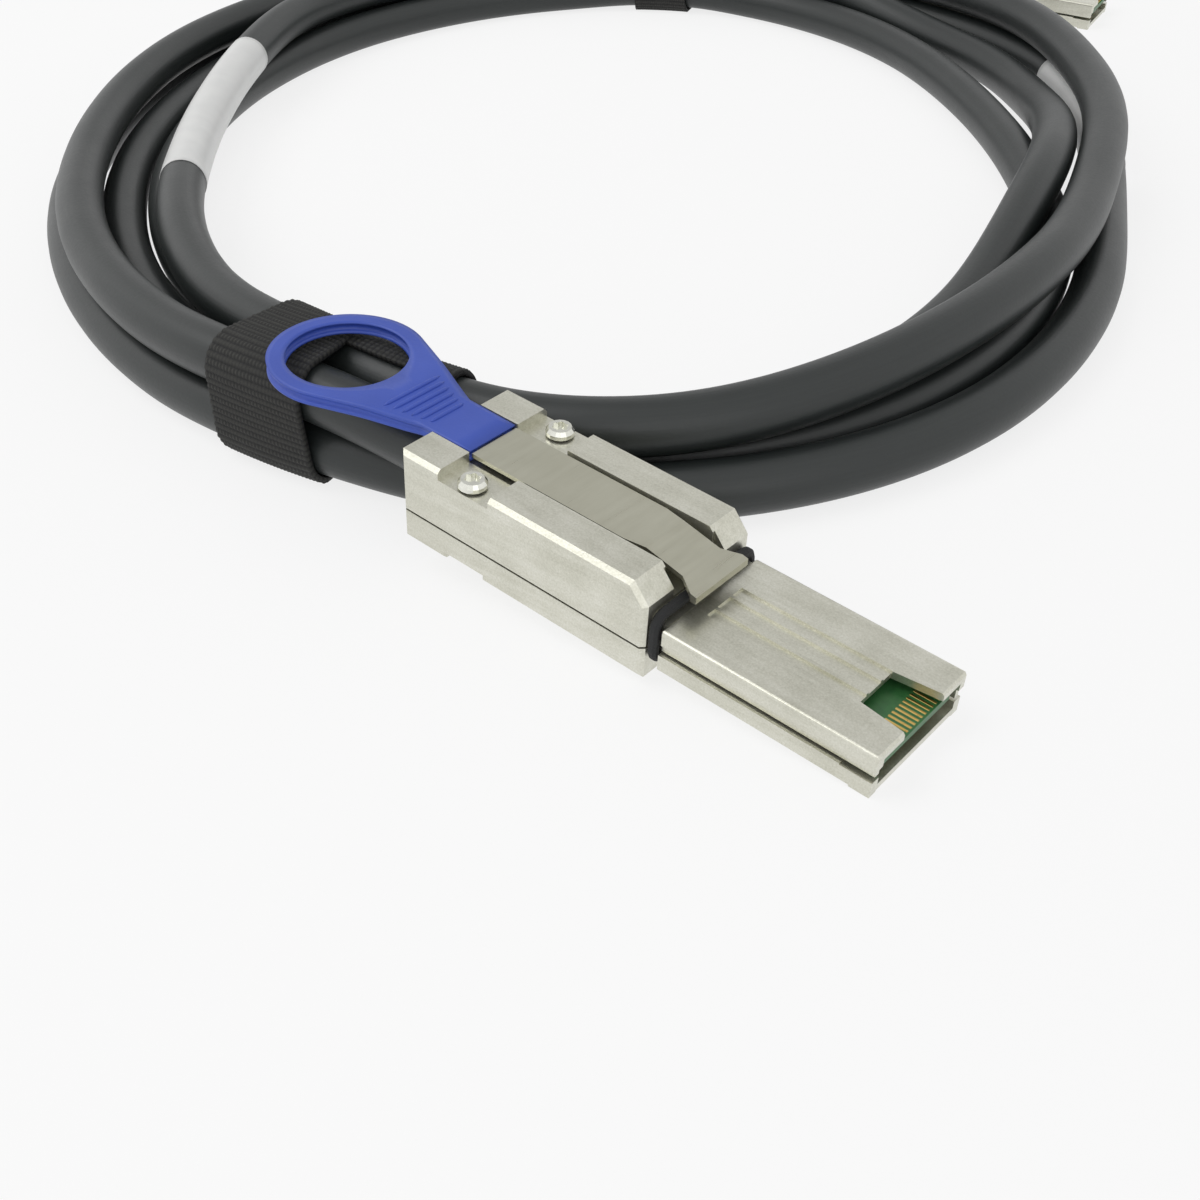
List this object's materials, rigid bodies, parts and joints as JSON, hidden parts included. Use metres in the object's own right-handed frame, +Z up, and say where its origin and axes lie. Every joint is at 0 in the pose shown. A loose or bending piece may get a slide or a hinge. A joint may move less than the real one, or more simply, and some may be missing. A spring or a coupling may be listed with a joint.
{
  "type": "external mini sas cable",
  "caption": "Coiled round data cable, tied by hook-and-loop straps, with a die-cast latching plug and blue pull tab at each end.",
  "frame": {"origin": "on the table, under the middle of the box of the near plug with its pull tab", "axes": "+X from the cable end of the near plug towards its nose, +Z up from the table, +Y from the near plug towards the coil"},
  "size_m": [0.2775, 0.3048, 0.0228],
  "materials": {
    "plated_casting": "satin",
    "latch_sheet": "satin",
    "blue_plastic": "satin",
    "gasket_rubber": "matte",
    "screw_steel": "satin",
    "green_card": "satin",
    "ivory_plastic": "matte",
    "cord_jacket": "satin",
    "strap_weave": "matte",
    "label_white": "matte"
  },
  "bodies": {
    "cable": {"near_upper_shell": "plated_casting", "near_lower_shell": "plated_casting", "near_gasket": "gasket_rubber", "near_paddle_card": "green_card", "near_inner_mould": "ivory_plastic", "near_cable_ferrule": "screw_steel", "near_screw_left": "screw_steel", "near_screw_right": "screw_steel", "near_return_spring": "screw_steel", "far_upper_shell": "plated_casting", "far_lower_shell": "plated_casting", "far_gasket": "gasket_rubber", "far_paddle_card": "green_card", "far_inner_mould": "ivory_plastic", "far_cable_ferrule": "screw_steel", "far_screw_left": "screw_steel", "far_screw_right": "screw_steel", "far_return_spring": "screw_steel", "cable_lead": "cord_jacket", "cable_coil": "cord_jacket", "cable_tail": "cord_jacket", "strap_left": "strap_weave", "strap_top": "strap_weave", "label_left": "label_white", "label_right": "label_white"},
    "near_latch": {"near_latch_plate": "latch_sheet", "near_pull_tab": "blue_plastic"},
    "far_latch": {"far_latch_plate": "latch_sheet", "far_pull_tab": "blue_plastic"}
  },
  "joints": [
    {"name": "near_latch_slide", "type": "slide", "parent": "cable", "child": "near_latch", "axis": [-0.9954, 0, 0.0958], "range_m": [0, 0.002], "stiffness_N_per_m": 300, "springref_m": -0.001},
    {"name": "far_latch_slide", "type": "slide", "parent": "cable", "child": "far_latch", "axis": [-0.976, -0.2075, 0.0662], "range_m": [0, 0.002], "stiffness_N_per_m": 300, "springref_m": -0.001}
  ]
}
